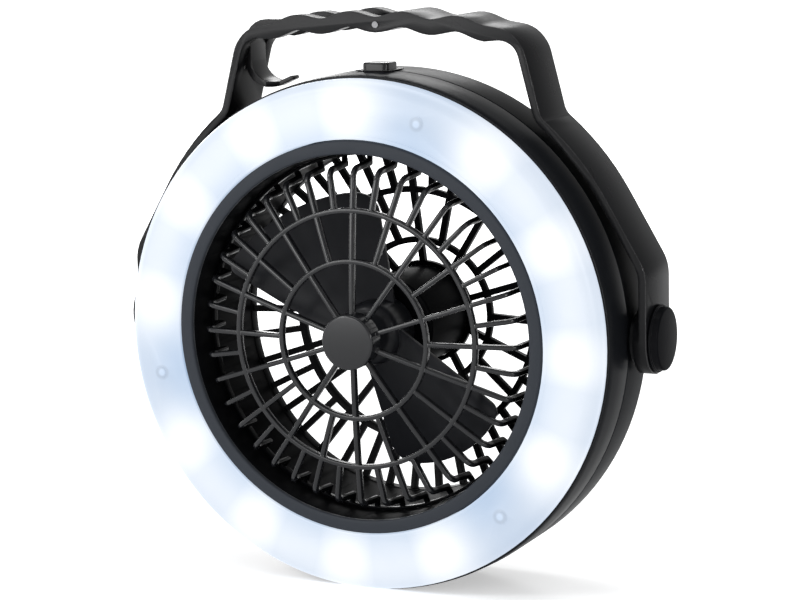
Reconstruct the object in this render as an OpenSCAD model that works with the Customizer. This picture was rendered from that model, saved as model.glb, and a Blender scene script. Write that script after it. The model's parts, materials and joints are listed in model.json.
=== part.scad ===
// Portable camping fan with a ring light: a drum that holds the fan and the light, a strap
// handle that tilts about the drum, and a hanging hook stored in the handle's grip.
// X runs to the right, the air and the light leave towards -Y, Z is up.
// The drum stands on a narrow flat at z = 0. Most shapes are drawn about the handle's axis.

/* [Drum] */
// Outer diameter of the drum
drum_d = 192; // [184:1:206]
// Depth of the front housing, from its lip to the seam
front_depth = 19; // [17:0.5:22]
// Depth of the rear housing, from the seam to the back face
rear_depth = 24.5; // [23:0.5:28]
// Distance from the seam back to the handle's axis
pivot_behind_seam = 9.5; // [9.4:0.1:10.5]
// Thickness of the drum's outer wall
shell_wall = 2.2; // [1.6:0.1:2.8]
// Thickness of the back wall and of the deck behind the light
plate_t = 2; // [1.6:0.1:2.4]
// Rounding of the drum's back edge
back_round = 6; // [4:0.5:7]
// How much smaller the front lip is than the drum, as a radius
lip_inset = 0.6; // [0.3:0.1:1]
// Depth of the flat that the drum stands on
rest_flat = 1; // [0.9:0.1:1.3]
// Bevel on both sides of the seam
seam_bevel = 0.5; // [0.2:0.1:0.8]

/* [Light] */
// Height of the lens in front of the housing's lip
lens_h = 7; // [6.5:0.25:8]
// Thickness of the lens
lens_wall = 1.8; // [1.4:0.1:2.2]
// Rounding of the lens's outer edge
lens_round = 5; // [4:0.25:6]
// How far the housing's lip stands outside the lens
lens_inset = 0.8; // [0.5:0.1:1]
// Number of groups of LEDs round the ring
led_groups = 3; // [2:1:4]
// LEDs in each group
leds_per_group = 4; // [2:1:4]
// Angle between neighbouring LEDs of a group
led_pitch = 27; // [20:1:29]
// Angle of the first group's middle
led_start = 12; // [0:1:30]
// Side of one LED
led_side = 5; // [3:0.5:6]
// Thickness of the LED board
board_t = 1.6; // [1.2:0.1:2]

/* [Fan opening] */
// Diameter of the fan opening in the trim ring
opening_d = 135.4; // [130:1:138]
// Radial width of the trim ring
trim_w = 5; // [4.5:0.25:6]
// How far the trim ring stands in front of the lens
trim_proud = 0.4; // [0.2:0.1:0.8]
// How much the duct's radius shrinks from its mouth to its rear end
duct_taper = 0.9; // [0:0.1:1.5]
// Thickness of the duct
duct_wall = 1.6; // [1.4:0.1:1.7]

/* [Front grille] */
// Radius of the hub disc
hub_r = 10.2; // [8:0.2:14]
// How far the hub disc stands in front of the grille's middle
hub_proud = 3.9; // [2:0.1:5]
// Height of the grille's dome, from the trim ring to its middle
dome_h = 3.7; // [2:0.1:5]
// Radius of the inner ring
ring_1_r = 29; // [24:0.5:34]
// Radius of the outer ring
ring_2_r = 47.4; // [42:0.2:52]
// Ribs that reach the hub, a quarter of all ribs
hub_ribs = 10; // [8:1:12]
// Width of a rib
rib_w = 1.8; // [1.4:0.1:2.2]
// Depth of a rib
rib_d = 3; // [2.6:0.1:3.6]
// Radius of the bend where a rib turns back into the duct
rib_bend = 5; // [3.5:0.25:6]

/* [Rear grille] */
// Radius of the inner ring
rear_ring_1_r = 28.5; // [26:0.5:34]
// Radius of the outer ring
rear_ring_2_r = 48.5; // [44:0.5:54]
// Bars that reach the motor's cup, a quarter of all bars
cup_bars = 10; // [8:1:12]
// Width of a bar
bar_w = 2.4; // [1.6:0.1:2.8]
// How far the rear grille bulges back, from its rim to the motor's cup
bulge_h = 13.1; // [10:0.5:15]
// Thickness of the rear grille
rear_grille_t = 2.4; // [2:0.1:3]

/* [Fan] */
// Radius of a blade's tip arc
rotor_r = 55.6; // [50:0.2:56]
// Number of blades
blades = 2; // [2:1:3]
// Angle of the first blade's middle
blade_start = 126; // [0:1:180]
// Half the width of a blade at the rotor's axis
foot_half = 9.2; // [7:0.2:10.4]
// Angle by which both edges of a blade flare outwards
blade_flare = 22.8; // [16:0.2:26]
// How far a blade's tip arc is set towards its leading edge
tip_shift = 8; // [0:0.5:9]
// Pitch of the blades
blade_pitch = 21.3; // [14:0.1:22]
// Thickness of a blade
blade_t = 1.6; // [1.2:0.1:2.4]
// Radius of the blades' camber
camber_r = 800; // [700:20:1400]
// Radius of the rotor's hub
rotor_hub_r = 12; // [11:0.25:13]
// Radius of the motor's can
motor_r = 12; // [11:0.25:13]
// Length of the motor's can
motor_len = 32; // [28:0.5:32]
// Outer radius of the cup round the motor
cup_r = 18.2; // [17:0.1:19]
// Radius of the motor's shaft
shaft_r = 1; // [0.8:0.1:1.5]
// Running clearance of the shaft, as a radius
shaft_fit = 0.05; // [0.02:0.01:0.09]

/* [Handle] */
// Width of the strap
strap_w = 26; // [22:0.5:28]
// Thickness of the strap on the arms
strap_t = 2.8; // [2.4:0.1:3.4]
// Thickness of the grip
grip_t = 5.8; // [5:0.1:7]
// Height of the grip's middle line above the handle's axis
grip_h = 113.9; // [112.5:0.5:125]
// How far the grip's ends lie below its middle
grip_arch = 2.9; // [0:0.1:5]
// Half the length of the waved grip
grip_half = 43.2; // [40:0.4:46]
// Length of one finger wave
wave_len = 21.6; // [18:0.2:26]
// Height of the finger waves
wave_h = 1.1; // [0.4:0.1:1.6]
// Gap between the arms and the drum's widest corner as the handle turns
swing_gap = 0.3; // [0.3:0.1:1]
// Thickness of the handle's round eyes
eye_t = 5.25; // [4.5:0.25:6]
// Radius of the pivot bolts
pivot_r = 4; // [3:0.25:5]
// Running clearance of the pivot bolts, as a radius
pivot_fit = 0.06; // [0.02:0.01:0.09]
// Radius of the pivot caps
cap_r = 11.6; // [10:0.2:12]

/* [Hook] */
// Width of the hook
hook_w = 12; // [8:0.5:14]
// Thickness of the hook
hook_t = 2.6; // [2:0.1:3]
// Distance from the hook's pin to the middle of its upright
hook_reach = 56.2; // [54:0.1:56.4]
// Drop of the hook's bend below its pin
hook_drop = 23.3; // [20:0.1:23.6]
// Radius of the hook's pin
pin_r = 1.2; // [1:0.1:1.5]
// Running clearance of the hook's pin, as a radius
pin_fit = 0.07; // [0.02:0.01:0.09]

/* [Button and batteries] */
// Width of the push button
button_w = 10.4; // [8:0.2:14]
// Length of the push button along the drum's depth
button_l = 10; // [7:0.2:11]
// Height of the button above the drum
button_h = 3; // [2:0.1:4]
// Travel of the button
button_travel = 1.3; // [0.8:0.1:1.5]
// Width of the frame round the button
bezel_w = 1.6; // [1.2:0.1:2.4]
// Radius of an AA cell
cell_r = 7.15; // [7:0.05:7.25]
// Length of an AA cell's can
cell_len = 48.5; // [47:0.5:49]
// Radius from the drum's axis to the cells' axes
cell_ring_r = 81; // [80.6:0.1:81.2]

/* [Hidden] */
$fn = 96;

// Clearances
fit = 0.3;       // between pieces that only lie near each other
snug = 0.2;      // between pieces of one body that slide together
press = 0.05;    // round a pin or bolt that is pressed in
root = 0.5;      // depth by which a rib or post reaches into what carries it

// Drum, as radii from its axis and depths from the handle's axis
drum_r = drum_d/2;
lip_r = drum_r - lip_inset;
inner_r = lip_r - shell_wall;
seam_y = -pivot_behind_seam;
lip_y = seam_y - front_depth;
back_y = seam_y + rear_depth;
back_in_y = back_y - plate_t;
deck_y = lip_y + 3.5;   // front of the deck that carries the light
deck_back_y = deck_y + plate_t;
bevel_run = 8.5;  // length of the front housing's taper behind its lip

// Light
lens_r = lip_r - lens_inset;
lens_y = lip_y - lens_h;
trim_y = lens_y - trim_proud;
trim_t = 2;
mouth_r = opening_d/2;
trim_r = mouth_r + trim_w;
lens_in_r = trim_r + 0.4;
bead_h = 0.3;
bead_w = 1.5;
board_y = deck_y - board_t;
board_in_r = lens_in_r + lens_wall + 1;
board_out_r = inner_r - 1.8;
led_r = (lens_in_r + lens_r)/2;
led_t = 1.6;
tray_t = 0.8;
pip_r = 2.2;

// Duct
flange_y = trim_y + trim_t;
flange_t = 1.8;
tube_out_r = trim_r + 0.2;
tube_in_r = tube_out_r - 2;
duct_exit_r = mouth_r - duct_taper;
duct_end_y = back_in_y - rear_grille_t;
exit_lip = 1.1;   // by which the outlet is wider than the duct
collar_len = 6;
collar_wall = 1.5;

// Front grille
all_ribs = 4*hub_ribs;
grille_y = trim_y - dome_h;
run_out_r = mouth_r - 4.2;  // outer side of the ribs where they run back
run_t = 2.4;
bend_r = run_out_r - rib_bend;
bend_y = grille_y + dome_h + rib_bend;
leg_len = 12;               // from the bend back to the ribs' feet
leg_lean = 0.8;             // outwards, from the bend to the foot
foot_t = 2.2;
foot_round = 1.2;
foot_ring_w = 1.2;
foot_y = bend_y + leg_len;
ring_w = 1.9;
ring_d = 2.4;
ring_proud = 0.25;          // of the ribs' front edges
hub_y = grille_y - hub_proud;

// Motor and rotor
cup_wall = 1.6;
cup_end_y = back_y + bulge_h;
motor_back_y = cup_end_y - cup_wall;
motor_y = motor_back_y - motor_len;
sleeve_t = 1.6;
sleeve_len = 24;
lid_t = 1.6;
cup_y = motor_y - lid_t - 0.4;
bush_len = 4;
bush_r = 3.5;
rotor_y = grille_y + 21;
rotor_hub_y = rotor_y - 8;
rotor_hub_end_y = motor_y - bush_len - 0.5;
hub_hollow_y = rotor_hub_y + 8;

// Whole object
pivot_y = (-hub_y - cup_end_y)/2;
drum_z = drum_r - rest_flat;

// Pivots
boss_r = 9;
boss_h = 1.4;
boss_depth = 10;
washer_t = 0.8;
side_gap = 0.15;
washer_x = drum_r + boss_h;
eye_in_x = washer_x + washer_t + side_gap;
eye_x = eye_in_x + eye_t;
cap_x = eye_x + side_gap;
cap_flange_t = 1;
cap_flange_w = 0.8;
cap_t = 3.6;
cap_round = 0.8;
bolt_in_x = washer_x - boss_depth;
bolt_x = cap_x + cap_t - 1.4;

// Handle's middle line
drum_reach = norm([lens_r - lens_round, lens_y + lens_round]) + lens_round;
strap_r = drum_reach + swing_gap + strap_t/2;
arm_x = eye_x - strap_t/2;
arc_low = 30;
arc_high = 50;
shoulder_run = 2.6;
arm_round = 15;
shoulder_round = 8;
corner_round = 10.5;
corner_x = grip_half + 12.2;
arc_steps = 7;
hook_pin_z = grip_h - wave_h;

// Hook
slot_gap = 0.6;
hook_eye_r = 2.7;
hook_tip_t = 1.6;
hook_tip_w = 5;
hook_flat = 10.7;       // from the upright's middle to the start of the tip
hook_tip_run = 5.5;
hook_tip_rise = 2.4;
hook_top_round = 8;
hook_bend_round = 9;
hook_tip_round = 4;
upright_z = hook_pin_z - hook_drop;
hook_swing_r = max([for (p = hook_line()) norm(p - [0, hook_pin_z])]) + hook_t/2;

// Switch and batteries
switch_top = inner_r - 5.2;
button_in = inner_r - 0.6;
bezel_wall = 0.8;
bezel_h = 0.4;
bezel_in = inner_r - 0.2;
switch_h = 7;
stem_r = 1.5;
switch_w = 12;
switch_l = 8;
shelf_z = switch_top - switch_h;
shelf_half = 8;
cell_angle = 20;
cell_gap = 0.8;
tray_wall = 1.5;
tray_in_r = cell_ring_r - cell_r - 1.3 - tray_wall;
tray_out_r = inner_r - snug;
tray_half = 44.5;
top_of_tray = back_in_y - fit;
cover_half = 40.5;
cover_in_r = tray_in_r + 0.5;
cover_out_r = drum_r - back_round - 0.5;
cell_front_y = deck_back_y + tray_wall + cell_r + 0.5;
cell_rear_y = cell_front_y + 2*cell_r + cell_gap;

// Screws
screw_angles = [30, 150, 210, 330];
screw_ring_r = 84;
post_r = 4;
post_split_y = seam_y + 5.5;
head_r = 3;
head_y = post_split_y + 3;
screw_r = 1.5;
screw_len = 16;

// A unit vector
function unit(v) = v/norm(v);

// Points of an arc about o, from angle a to angle b in n steps
function arc(o, r, a, b, n) = [for (i = [0:n]) o + r*[cos(a + (b - a)*i/n), sin(a + (b - a)*i/n)]];

// The corner b between a and c, rounded with radius r
function corner(a, b, c, r, n = 6) =
  let (
    u = unit(a - b),
    v = unit(c - b),
    half = acos(u*v)/2,
    o = b + unit(u + v)*r/sin(half),
    p = b + u*r/tan(half),
    q = b + v*r/tan(half),
    a0 = atan2(p.y - o.y, p.x - o.x),
    a1 = atan2(q.y - o.y, q.x - o.x),
    turn = (a1 - a0 + 540)%360 - 180
  ) arc(o, r, a0, a0 + turn, n);

// A line moved sideways by h, which may differ from point to point
function beside(p, h) = [
  for (i = [0:len(p) - 1])
    let (d = unit(p[min(i + 1, len(p) - 1)] - p[max(i - 1, 0)]))
      p[i] + [-d.y, d.x]*h[i]
];

function back_to_front(p) = [for (i = [len(p) - 1:-1:0]) p[i]];

// The outline of a strip of half-thickness h round a middle line
function strip(p, h) = concat(beside(p, h), back_to_front(beside(p, -h)));

// Places what follows on the drum's axis and the handle's axis
module at_drum() {
  translate([0, pivot_y, drum_z]) children();
}

// A solid turned about the drum's axis, from points [radius, depth]
module turned(profile) {
  rotate([-90, 0, 0]) rotate_extrude() polygon(profile);
}

// The part of such a solid between two angles, counted from +X towards +Z
module turned_part(profile, from, to) {
  rotate([0, -to, 0]) rotate([-90, 0, 0]) rotate_extrude(angle = to - from) polygon(profile);
}

// A solid turned about the handle's axis, from points [radius, x]
module turned_x(profile) {
  rotate([0, 90, 0]) rotate_extrude($fn = 64) polygon(profile);
}

// A disc or pin along Y, from depth y0 to depth y1
module along_y(r, y0, y1) {
  translate([0, y0, 0]) rotate([-90, 0, 0]) cylinder(r = r, h = y1 - y0);
}

// Turns a shape drawn on +X to the angle a
module at_angle(a) {
  rotate([0, -a, 0]) children();
}

// A box from one corner to the other
module span(low, high) {
  translate(low) cube(high - low);
}

// Takes away what lies below the flat that the drum stands on
module on_flat() {
  difference() {
    children();
    span([-drum_r, lip_y - 1, -drum_r - 1], [drum_r, back_y + 1, -drum_z]);
  }
}

// A block round the push button's middle, w wide and l long, from height z0 to z1
module at_button(w, l, z0, z1) {
  span([-w/2, seam_y - l/2, z0], [w/2, seam_y + l/2, z1]);
}

// The opening for the push button and its frame, across the seam
module button_opening() {
  grow = 2*(snug + bezel_wall + press);
  at_button(button_w + grow, button_l + grow, switch_top, drum_r + 1);
}

module screw_posts(y0, y1) {
  for (a = screw_angles)
    at_angle(a) translate([screw_ring_r, 0, 0]) along_y(post_r, y0, y1);
}

module screw_holes(r, y0, y1) {
  for (a = screw_angles)
    at_angle(a) translate([screw_ring_r, 0, 0]) along_y(r, y0, y1);
}

// Outer wall, the deck behind the light and the tube that carries the duct
module front_housing() {
  profile = [
    [lip_r, lip_y], [drum_r, lip_y + bevel_run], [drum_r, seam_y - seam_bevel],
    [drum_r - seam_bevel, seam_y], [inner_r, seam_y], [inner_r, deck_back_y],
    [tube_in_r, deck_back_y], [tube_in_r, flange_y + flange_t], [tube_out_r, flange_y + flange_t],
    [tube_out_r, deck_y], [inner_r, deck_y], [inner_r, lip_y]
  ];
  color("#1c1e20") at_drum() on_flat() difference() {
    union() {
      turned(profile);
      screw_posts(deck_back_y - root, post_split_y);
      // Shelf under the switch
      span([-shelf_half, deck_back_y - root, shelf_z - plate_t], [shelf_half, seam_y + button_l/2, shelf_z]);
    }
    button_opening();
    screw_holes(screw_r + snug/2, post_split_y - screw_len, post_split_y + 1);
  }
}

// Outer wall, back wall with the air outlet, tongue, pivot bosses and screw posts
module rear_housing() {
  tongue_w = 2;
  tongue_len = 3;
  outlet_r = duct_exit_r + exit_lip;
  collar_y = back_in_y - collar_len;
  collar_r = duct_r(collar_y) + duct_wall + fit;
  round_o = [drum_r - back_round, back_y - back_round];
  profile = concat(
    [[drum_r - seam_bevel, seam_y], [drum_r, seam_y + seam_bevel]],
    arc(round_o, back_round, 0, 90, 8),
    [
      [outlet_r, back_y], [outlet_r, back_in_y], [collar_r, back_in_y],
      [collar_r, collar_y], [collar_r + collar_wall, collar_y], [collar_r + collar_wall, back_in_y],
      [drum_r - back_round, back_in_y], [inner_r, back_y - back_round], [inner_r, seam_y]
    ]
  );
  tongue = [
    [inner_r - tongue_w, seam_y - tongue_len], [inner_r - snug, seam_y - tongue_len],
    [inner_r - snug, seam_y], [inner_r + root, seam_y], [inner_r + root, seam_y + tongue_len],
    [inner_r - tongue_w, seam_y + tongue_len]
  ];
  color("#1c1e20") at_drum() on_flat() difference() {
    union() {
      turned(profile);
      difference() {
        turned_part(tongue, -45, 225);
        at_button(button_w + 5, button_l + 6, switch_top, inner_r);
      }
      for (side = [-1, 1])
        scale([side, 1, 1]) rotate([0, 90, 0]) translate([0, 0, bolt_in_x])
          cylinder(r = boss_r, h = boss_depth);
      screw_posts(post_split_y, back_in_y + root);
    }
    button_opening();
    for (side = [-1, 1])
      scale([side, 1, 1]) rotate([0, 90, 0]) translate([0, 0, bolt_in_x - 1])
        cylinder(r = pivot_r + press, h = boss_depth + 2);
    screw_holes(screw_r + snug, post_split_y - 1, back_y);
    screw_holes(head_r + snug, head_y, back_y + 1);
    turned_part(
      [
        [cover_in_r - fit, back_in_y - 1], [cover_out_r + fit, back_in_y - 1],
        [cover_out_r + fit, back_y + 1], [cover_in_r - fit, back_y + 1]
      ],
      -90 - cover_half - 0.3, -90 + cover_half + 0.3
    );
  }
}

// Frosted ring with a rounded outer edge, a bead beside the trim and three round pips
module lens() {
  o = [lens_r - lens_round, lens_y + lens_round];
  profile = concat(
    [[lens_r, lip_y]],
    arc(o, lens_round, 0, -90, 8),
    [
      [lens_in_r + bead_w, lens_y], [lens_in_r + bead_w, lens_y - bead_h],
      [lens_in_r, lens_y - bead_h], [lens_in_r, deck_y],
      [lens_in_r + lens_wall, deck_y], [lens_in_r + lens_wall, lens_y + lens_wall]
    ],
    arc(o, lens_round - lens_wall, -90, 0, 8),
    [[lens_r - lens_wall, lip_y]]
  );
  pip_start = led_start + 180/led_groups;
  color("#eaf4ff") at_drum() union() {
    turned(profile);
    for (k = [0:led_groups - 1])
      at_angle(pip_start + 360*k/led_groups) translate([led_r, 0, 0])
        along_y(pip_r, lens_y - bead_h, lens_y + lens_wall/2, $fn = 32);
  }
}

module trim_ring() {
  bevel = 0.5;
  color("#3b3f43") at_drum() turned([
    [mouth_r, trim_y + bevel], [mouth_r + bevel, trim_y], [trim_r - bevel, trim_y],
    [trim_r, trim_y + bevel], [trim_r, flange_y], [mouth_r, flange_y]
  ]);
}

// Inner radius of the tapered duct at the depth y
function duct_r(y) =
  mouth_r + (duct_exit_r - mouth_r)*(y - flange_y)/(duct_end_y - flange_y);

// Front face of the grille at radius r
function dome_y(r) = grille_y + dome_h*pow(r/bend_r, 2);

// A rib in the plane of [radius, depth]: along the dome, round the bend and back to its foot at the duct
function rib_outline(start) =
  let (
    steps = 5,
    step = (bend_r - start)/steps,
    front = [for (i = [0:steps]) [start + step*i, dome_y(start + step*i)]],
    under = [for (p = back_to_front(front)) p + [0, rib_d]],
    o = [bend_r, bend_y],
    outer = arc(o, rib_bend, -78, 0, 6),
    inner = arc(o, rib_bend - run_t, 0, -60, 3),
    reach = duct_r(foot_y) - snug - foot_ring_w/2,
    leg_out = run_out_r + leg_lean,
    leg_in = leg_out - run_t
  ) concat(
    front, outer,
    [[leg_out, foot_y - foot_t], [reach, foot_y - foot_t], [reach, foot_y]],
    [[leg_in + foot_round, foot_y], [leg_in, foot_y - foot_round]],
    inner,
    [for (p = under) if (p[0] < bend_r - 1.5) p]
  );

// Hub disc, rings, and ribs from the hub, from the inner ring and from the outer ring
module front_grille() {
  hub_bevel = 0.6;
  hub_back = grille_y + rib_d + hub_bevel;
  wall_r = duct_r(foot_y) - snug;
  proud = 0.3;
  color("#26292c") at_drum() union() {
    turned([
      [0, hub_y], [hub_r - hub_bevel, hub_y], [hub_r, hub_y + hub_bevel],
      [hub_r, hub_back], [0, hub_back]
    ]);
    for (r = [ring_1_r, ring_2_r])
      turned([
        [r - ring_w/2, dome_y(r) - ring_proud], [r + ring_w/2, dome_y(r) - ring_proud],
        [r + ring_w/2, dome_y(r) + ring_d], [r - ring_w/2, dome_y(r) + ring_d]
      ]);
    // Ring that joins the ribs' feet
    turned([
      [wall_r - foot_ring_w, foot_y - foot_t - proud], [wall_r, foot_y - foot_t - proud],
      [wall_r, foot_y + proud], [wall_r - foot_ring_w, foot_y + proud]
    ]);
    for (k = [0:all_ribs - 1])
      at_angle(90 + 360*k/all_ribs) linear_extrude(rib_w, center = true)
        polygon(rib_outline(k%4 == 0 ? hub_r - 1.5 : k%4 == 2 ? ring_1_r : ring_2_r));
  }
}

// Tapered air duct with a flange at its mouth
module duct() {
  color("#17191b") at_drum() turned([
    [mouth_r, flange_y], [trim_r - fit, flange_y], [trim_r - fit, flange_y + flange_t],
    [mouth_r + duct_wall, flange_y + flange_t], [duct_exit_r + duct_wall, duct_end_y],
    [duct_exit_r, duct_end_y]
  ]);
}

// Back face of the rear grille at radius r
function bulge_y(r) = back_y + bulge_h*(duct_exit_r - r)/(duct_exit_r - cup_r);

// Rings of the rear grille, seen along the drum's axis
module flat_rings(rings) {
  for (ring = rings)
    difference() {
      circle(r = ring[1]);
      circle(r = ring[0]);
    }
}

// Bars of the rear grille that start at the angle a, count of them, from r_in to r_out
module flat_bars(a, count, r_in, r_out) {
  for (k = [0:count - 1])
    rotate(a + 360*k/count) translate([r_in, -bar_w/2]) square([r_out - r_in, bar_w]);
}

// Bulging lattice: a flanged rim, three rings and straight bars, each ring with twice the bars inside it
module rear_grille() {
  pitch = 360/cup_bars;
  eye_in = cup_r + press;
  rim_in = duct_exit_r - snug;
  rim_out = duct_exit_r + exit_lip - fit;
  flange_out = duct_exit_r + duct_wall + 0.1;
  sink = 0.4;
  eye_w = 1.9;
  color("#17191b") at_drum() union() {
    turned([
      [rim_in, duct_end_y], [flange_out, duct_end_y], [flange_out, back_in_y],
      [rim_out, back_in_y], [rim_out, back_y], [rim_in, back_y]
    ]);
    intersection() {
      turned([
        [eye_in, bulge_y(eye_in) - rear_grille_t], [rim_in + sink, bulge_y(rim_in + sink) - rear_grille_t],
        [rim_in + sink, bulge_y(rim_in + sink)], [eye_in, bulge_y(eye_in)]
      ]);
      translate([0, cup_end_y + 1, 0]) rotate([90, 0, 0]) linear_extrude(bulge_h + 3*rear_grille_t) {
        flat_rings([
          [eye_in - 1, cup_r + eye_w],
          [rear_ring_1_r - bar_w/2, rear_ring_1_r + bar_w/2],
          [rear_ring_2_r - bar_w/2, rear_ring_2_r + bar_w/2]
        ]);
        flat_bars(pitch/2, cup_bars, cup_r + 1, rear_ring_1_r);
        flat_bars(0, 2*cup_bars, rear_ring_1_r, rear_ring_2_r);
        flat_bars(0, 4*cup_bars, rear_ring_2_r, rim_in + 1);
      }
    }
  }
}

// Cup behind the rotor, with a sleeve that holds the motor
module motor_cup() {
  sleeve_in = motor_r + snug;
  sleeve_y = motor_back_y - sleeve_len;
  bevel = 1.2;
  color("#17191b") at_drum() turned([
    [cup_r - cup_wall, cup_y], [cup_r - 0.6, cup_y], [cup_r, cup_y + 0.6],
    [cup_r, cup_end_y - bevel], [cup_r - bevel, cup_end_y], [0, cup_end_y], [0, motor_back_y],
    [sleeve_in, motor_back_y], [sleeve_in, sleeve_y], [sleeve_in + sleeve_t, sleeve_y],
    [sleeve_in + sleeve_t, motor_back_y], [cup_r - cup_wall, motor_back_y]
  ]);
}

// Lid in the cup's mouth, round the motor's bush
module motor_lid() {
  color("#17191b") at_drum() turned([
    [bush_r + fit, motor_y - lid_t], [cup_r - cup_wall - press, motor_y - lid_t],
    [cup_r - cup_wall - press, motor_y], [bush_r + fit, motor_y]
  ]);
}

// Angles of all LEDs
function led_angles() = [
  for (g = [0:led_groups - 1], i = [0:leds_per_group - 1])
    led_start + 360*g/led_groups + led_pitch*(i - (leds_per_group - 1)/2)
];

module led_blocks(side, y0, y1) {
  for (a = led_angles())
    at_angle(a) span([led_r - side/2, y0, -side/2], [led_r + side/2, y1, side/2]);
}

// White tray with a window round each LED
module reflector() {
  in_r = board_in_r - 0.6;
  out_r = board_out_r + 0.6;
  color("white") at_drum() difference() {
    turned([
      [in_r, board_y], [out_r, board_y], [out_r, lip_y - 1.5], [out_r - tray_t, lip_y - 1.5],
      [out_r - tray_t, board_y - tray_t], [in_r + tray_t, board_y - tray_t],
      [in_r + tray_t, lip_y - 1.5], [in_r, lip_y - 1.5]
    ]);
    led_blocks(led_side + 1, board_y - 1.5*tray_t, board_y + 1);
  }
}

module led_board() {
  color("#e8e8e0") at_drum() turned([
    [board_in_r, board_y], [board_out_r, board_y], [board_out_r, deck_y], [board_in_r, deck_y]
  ]);
}

module leds() {
  color("#fff6c0") at_drum() led_blocks(led_side, board_y - led_t, board_y);
}

// Corner of a blade between its edge on the side s and its tip arc
function blade_corner(s) =
  let (
    k = tan(blade_flare),
    f = foot_half + s*tip_shift,
    t = (-f*k + sqrt(rotor_r*rotor_r*(1 + k*k) - f*f))/(1 + k*k)
  ) [s*(foot_half + t*k), t];

// Outline of one blade, seen along the drum's axis, with its middle on +Z
function blade_outline() =
  let (
    lead_round = 4,
    trail_round = 9,
    lead_turn = 9,     // angle of the tip arc left to the leading corner
    trail_turn = 12,   // angle of the tip arc left to the trailing corner
    steps = 14,
    o = [-tip_shift, 0],
    lead = blade_corner(-1),
    trail = blade_corner(1),
    a = atan2(lead.y, lead.x + tip_shift) - lead_turn,
    b = atan2(trail.y, trail.x + tip_shift) + trail_turn,
    tip = arc(o, rotor_r, a, b, steps)
  ) concat(
    [[-foot_half, 0]],
    corner([-foot_half, 0], lead, tip[0], lead_round),
    tip,
    corner(tip[steps], trail, [foot_half, 0], trail_round),
    [[foot_half, 0]]
  );

// One cambered blade: the outline cut out of a pitched cylindrical shell
module blade() {
  intersection() {
    translate([0, rotor_y + rotor_r, 0]) rotate([90, 0, 0])
      linear_extrude(2*rotor_r) polygon(blade_outline());
    translate([0, rotor_y, 0]) rotate([0, 0, blade_pitch]) translate([0, -camber_r, -rotor_r])
      difference() {
        cylinder(r = camber_r + blade_t/2, h = 3*rotor_r, $fn = 180);
        translate([0, 0, -1]) cylinder(r = camber_r - blade_t/2, h = 3*rotor_r + 2, $fn = 180);
      }
  }
}

// Blades on a domed hub
module rotor() {
  hub_end = rotor_hub_end_y;
  dome = 4;
  skirt = 1.8;
  boss = 4;
  color("#2c2f32") at_drum() difference() {
    union() {
      for (k = [0:blades - 1])
        at_angle(blade_start - 90 + 360*k/blades) blade();
      turned(concat(
        [[0, rotor_hub_y]],
        [[rotor_hub_r - dome, rotor_hub_y]],
        arc([rotor_hub_r - dome, rotor_hub_y + dome], dome, -75, 0, 5),
        [[rotor_hub_r, hub_end], [0, hub_end]]
      ));
    }
    along_y(shaft_r + 0.01, rotor_hub_y + 5, hub_end + 1, $fn = 32);
    // Hollow of the hub, round the boss that grips the shaft
    turned([
      [boss, hub_hollow_y], [rotor_hub_r - skirt, hub_hollow_y],
      [rotor_hub_r - skirt, hub_end + 1], [boss, hub_end + 1]
    ]);
  }
}

module motor_can() {
  bevel = 0.8;
  far = motor_y + 0.6*motor_len;
  color("#b9bcc0") at_drum() turned([
    [shaft_r + 0.8, motor_y], [motor_r - bevel, motor_y], [motor_r, motor_y + bevel],
    [motor_r, motor_back_y], [0, motor_back_y], [0, far + 8], [shaft_r + shaft_fit, far + 8],
    [shaft_r + shaft_fit, far], [shaft_r + 0.8, far]
  ]);
}

module motor_bush() {
  color("#a8863a") at_drum() turned([
    [shaft_r + shaft_fit, motor_y - bush_len], [bush_r, motor_y - bush_len],
    [bush_r, motor_y], [shaft_r + shaft_fit, motor_y]
  ]);
}

module motor_shaft() {
  color("#d0d2d5") at_drum()
    along_y(shaft_r, rotor_hub_y + 5.5, motor_y + 0.6*motor_len + 7, $fn = 32);
}

// Push button with rounded edges, a retaining flange and a stem that reaches into the switch
module switch_button() {
  flange_t = 1.2;
  flange_w = 1.1;
  side_round = 2;
  top_round = 0.7;
  top = drum_r + button_h;
  color("#232629") at_drum() union() {
    hull() for (dx = [-1, 1], dy = [-1, 1])
      translate([dx*(button_w/2 - side_round), seam_y + dy*(button_l/2 - side_round), button_in])
        rotate_extrude($fn = 32) polygon(concat(
          [[0, -flange_t/2], [side_round, -flange_t/2]],
          arc([side_round - top_round, top - top_round - button_in], top_round, 0, 90, 4),
          [[0, top - button_in]]
        ));
    at_button(button_w + 2*flange_w, button_l + 2*flange_w, button_in - flange_t, button_in);
    translate([0, seam_y, switch_top - 1]) cylinder(r = stem_r, h = button_in - switch_top, $fn = 32);
  }
}

// Thin frame in the drum's wall round the button
module button_bezel() {
  hole = 2*snug;
  wall = 2*(snug + bezel_wall);
  color("#17191b") at_drum() difference() {
    union() {
      at_button(button_w + wall, button_l + wall, bezel_in, drum_r + bezel_h);
      at_button(button_w + 2*bezel_w, button_l + 2*bezel_w, drum_r, drum_r + bezel_h);
    }
    at_button(button_w + hole, button_l + hole, bezel_in - 1, drum_r + 1);
  }
}

module switch_body() {
  color("#3a3d40") at_drum() difference() {
    at_button(switch_w, switch_l, shelf_z, switch_top);
    translate([0, seam_y, switch_top - 4]) cylinder(r = stem_r + 0.4, h = 5, $fn = 32);
  }
}

// Cross-section of the tray's box, whose rear outer edge follows the inside of the housing
function tray_section(r_in, r_out, y0, y1) =
  let (cut = r_out - (drum_r - back_round) + 2*fit)
    [[r_in, y0], [r_out, y0], [r_out, top_of_tray - cut], [r_out - cut, top_of_tray],
     [r_out - cut, y1], [r_in, y1]];

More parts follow.
